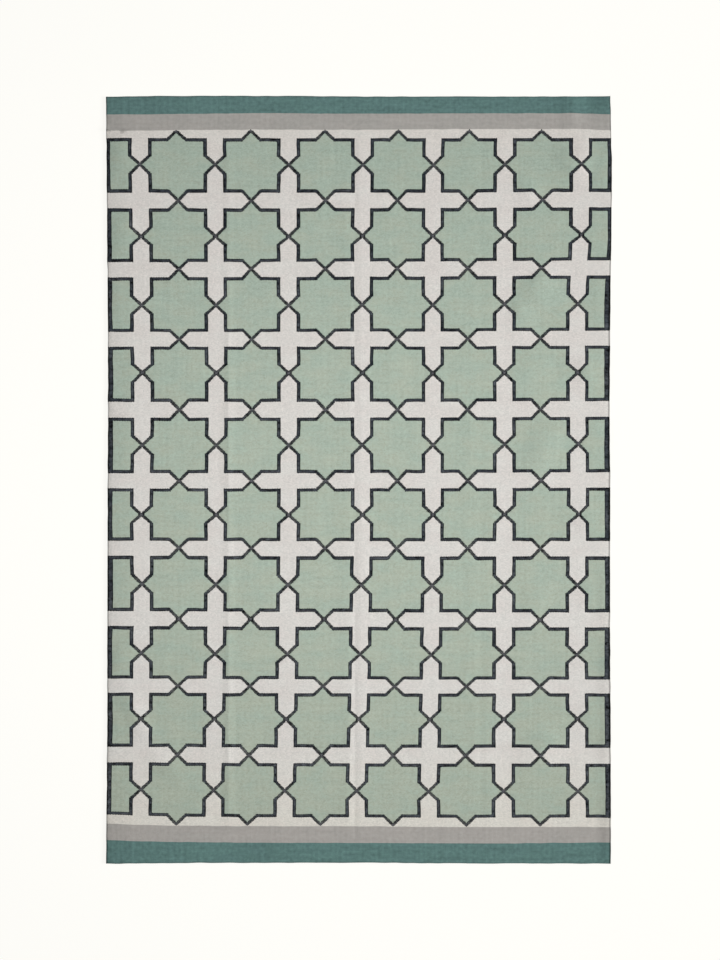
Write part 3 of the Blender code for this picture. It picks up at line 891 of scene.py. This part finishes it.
def yarnMaterial(colour):
    material = bpy.data.materials.get(colour) or bpy.data.materials.new(colour)
    material.use_nodes = True
    tree = material.node_tree
    tree.nodes.clear()
    place = addNode(tree, "UVMap", uv_map="weave").outputs["UV"]
    split = addNode(tree, "SeparateXYZ", {0: place})
    x, y = split.outputs["X"], split.outputs["Y"]

    # ribs over the warps, with the weft rows set half a step on from rib to rib
    ribPitch, pickPitch = design["ribPitch"], yarns["pickPitch"]
    sway = calc(tree, "SUBTRACT", grain(tree, place, yarns["swaySize"], yarns["swaySize"], 1), 0.5)
    x = calc(tree, "MULTIPLY_ADD", sway, yarns["sway"], x)
    y = calc(tree, "MULTIPLY_ADD", sway, yarns["rowSway"], y)
    ribPlace = calc(tree, "ADD", calc(tree, "DIVIDE", x, ribPitch), 0.5)
    rib = calc(tree, "FLOOR", ribPlace)
    odd = calc(tree, "MULTIPLY", calc(tree, "PINGPONG", rib, 1), 0.5)
    pickPlace = calc(tree, "ADD", calc(tree, "DIVIDE", y, pickPitch), odd)
    pick = calc(tree, "FLOOR", pickPlace)
    ribSide = calc(tree, "MULTIPLY_ADD", calc(tree, "FRACT", ribPlace), 2, -1)
    pickSide = calc(tree, "MULTIPLY_ADD", calc(tree, "FRACT", pickPlace), 2, -1)
    ribRound = calc(tree, "SUBTRACT", 1, calc(tree, "MULTIPLY", ribSide, ribSide))
    pickRound = calc(tree, "SUBTRACT", 1, calc(tree, "MULTIPLY", pickSide, pickSide))
    pickRise = calc(tree, "MULTIPLY_ADD", pickRound, yarns["pickDepth"], 1 - yarns["pickDepth"])
    ribRise = calc(tree, "MULTIPLY_ADD", ribRound, yarns["ribDepth"], 1 - yarns["ribDepth"])
    weave = calc(tree, "MULTIPLY", pickRise, ribRise)
    fibres = yarns["fibre"]
    fibre = grain(tree, place, fibres["across"], fibres["along"], 2)
    height = calc(tree, "MULTIPLY_ADD", fibre, fibres["height"], weave)
    cell = addNode(tree, "CombineXYZ", {0: rib, 1: pick})
    chance = addNode(tree, "TexWhiteNoise", {"Vector": cell.outputs[0]}, noise_dimensions="2D")
    flecks = calc(tree, "MULTIPLY_ADD", fibre, fibres["fleck"], chance.outputs["Value"])
    flecks = calc(tree, "SUBTRACT", flecks, (1 + fibres["fleck"]) / 2)  # as much above nought as below

    # painted shade along the selvedges and hems
    edges = edgeShade(tree, x, y, paintedRimShade)
    tint = yarnShade(tree, place, colour, weave, flecks, edges)
    starYarns = ("cream", "sage", "navy")
    if colour in starYarns:
        # each crossing of a rib and a row is all one yarn, so the outlines step from one to the next
        cellX = calc(tree, "MULTIPLY", rib, ribPitch)
        cellY = calc(tree, "MULTIPLY", calc(tree, "SUBTRACT", calc(tree, "ADD", pick, 0.5), odd), pickPitch)
        outer, inner = starDistances(tree, cellX, cellY)
        nearOuter, nearInner = starDistances(tree, x, y)
        others = {name: yarnShade(tree, place, name, weave, flecks, edges) for name in starYarns}
        fromInner = calc(tree, "MULTIPLY", calc(tree, "ABSOLUTE", nearInner), yarns["innerJoin"])
        fromJoin = calc(tree, "MINIMUM", calc(tree, "ABSOLUTE", nearOuter), fromInner)
        # painted shade in the slit at each colour join
        core = ramp(tree, fromJoin, 0, yarns["joinWidth"])
        navy = blend(tree, core, yarns["paintedJoinShade"], others["navy"])
        away = fromCrossing(tree, x, y)
        straight = ramp(tree, away, *yarns["slantReach"])
        paler = {0: navy, 1: blend(tree, straight, yarns["navySlant"], (1, 1, 1))}
        navy = addNode(tree, "VectorMath", paler, operation="MULTIPLY").outputs[0]
        uneven = calc(tree, "MULTIPLY_ADD", flecks, yarns["crossingFlecks"], 1)
        loose = {0: yarns["navyCrossing"], "Scale": uneven}
        loose = addNode(tree, "VectorMath", loose, operation="SCALE").outputs[0]
        navy = blend(tree, ramp(tree, away, *yarns["crossingReach"]), loose, navy)
        starOrNavy = blend(tree, calc(tree, "GREATER_THAN", inner, 0), others["sage"], navy)
        tint = blend(tree, calc(tree, "GREATER_THAN", outer, 0), starOrNavy, others["cream"])
    # painted shade along the left side
    leftShaded = {0: tint, "Scale": edgeShade(tree, x, y, paintedLeftShade)}
    tint = addNode(tree, "VectorMath", leftShaded, operation="SCALE").outputs[0]

    relief = {"Height": height, "Distance": yarns["bump"], "Strength": yarns["bumpStrength"]}
    bump = addNode(tree, "Bump", relief)
    roughness = calc(tree, "MULTIPLY_ADD", fibre, fibres["gloss"], yarns["roughness"])
    surface = addNode(tree, "BsdfPrincipled", {
        "Base Color": tint,
        "Roughness": roughness,
        "Normal": bump.outputs["Normal"],
        "Specular IOR Level": yarns["specular"],
        "Sheen Weight": yarns["sheen"],
        "Sheen Roughness": yarns["sheenRoughness"],
    })
    addNode(tree, "OutputMaterial", {"Surface": surface.outputs["BSDF"]})


# the rug

bpy.ops.object.select_all(action="DESELECT")
rug = makeGround()
print("ground woven:", len(rug.data.polygons), "faces")
addBands(rug)
print("bands added:", len(rug.data.polygons), "faces")
rug.name = "rug"
rug.data.name = "rug"
markCloth(rug)
layCloth(rug)
print("cloth laid over its folds")
thickenCloth(rug)
wrapRims(rug)
layBakeMap(rug)
for colour in colourOrder:
    yarnMaterial(colour)
rug.data.calc_loop_triangles()
print("rug:", len(rug.data.loop_triangles), "triangles")

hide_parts("rug_cloth")
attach(rug, "root")


# floor, light and camera

studio = {
    "floorSize": 60,
    "floorDrop": 0.0002,  # keeps it just clear of the rug's underside
    "floorColour": (0.13, 0.13, 0.125),
    "floorGlow": (0.865, 0.856, 0.821),
    "floorRoughness": 0.9,
    "floorSpecular": 0.1,
    "air": 0.194,
    "lensMm": 85,
    "sensorMm": 36,
    "viewHeight": 2.2915,  # what the photo's full height covers at the rug
    "aim": (0.0025, -0.0005),
}
lamps = [  # a weak one overhead, and a low one far off to the right that brings out the folds
    {"name": "overhead", "place": (-0.20, 0.0, 2.20), "size": 0.9, "power": 25.7},
    {"name": "rightSide", "place": (11.0, -0.48, 4.46), "size": 4.15, "power": 1850},
]


def softLight(name, place, size, power):  # a round lamp that points at the rug's middle
    bpy.ops.object.light_add(type="AREA", location=place)
    lamp = bpy.context.active_object
    lamp.name = name
    lamp.data.shape = "DISK"
    lamp.data.size = size
    lamp.data.energy = power
    lamp.rotation_euler = (-Vector(place)).to_track_quat("-Z", "Y").to_euler()
    lamp.visible_camera = False


def makeFloor():
    bpy.ops.mesh.primitive_plane_add(size=studio["floorSize"], location=(0, 0, -studio["floorDrop"]))
    floor = bpy.context.active_object
    floor.name = "floor"
    bpy.ops.object.transform_apply(location=True, rotation=True, scale=True)
    paint = bpy.data.materials.new("paleFloor")
    paint.use_nodes = True
    surface = paint.node_tree.nodes["Principled BSDF"]
    surface.inputs["Base Color"].default_value = (*studio["floorColour"], 1)
    surface.inputs["Roughness"].default_value = studio["floorRoughness"]
    surface.inputs["Specular IOR Level"].default_value = studio["floorSpecular"]
    surface.inputs["Emission Color"].default_value = (*studio["floorGlow"], 1)
    surface.inputs["Emission Strength"].default_value = 1
    floor.data.materials.append(paint)


makeFloor()
for lamp in lamps:
    softLight(**lamp)
sky = bpy.data.worlds.new("air")
sky.use_nodes = True
sky.node_tree.nodes["Background"].inputs["Color"].default_value = (1, 1, 1, 1)
sky.node_tree.nodes["Background"].inputs["Strength"].default_value = studio["air"]
bpy.context.scene.world = sky
bpy.context.scene.view_settings.view_transform = "Standard"

distance = studio["viewHeight"] * studio["lensMm"] / studio["sensorMm"]
bpy.ops.object.camera_add(location=(*studio["aim"], distance + cloth["thickness"]), rotation=(0, 0, 0))
camera = bpy.context.active_object
camera.name = "photoView"
camera.data.lens = studio["lensMm"]
camera.data.sensor_fit = "VERTICAL"
camera.data.sensor_height = studio["sensorMm"]
bpy.context.scene.camera = camera
print("studio set")
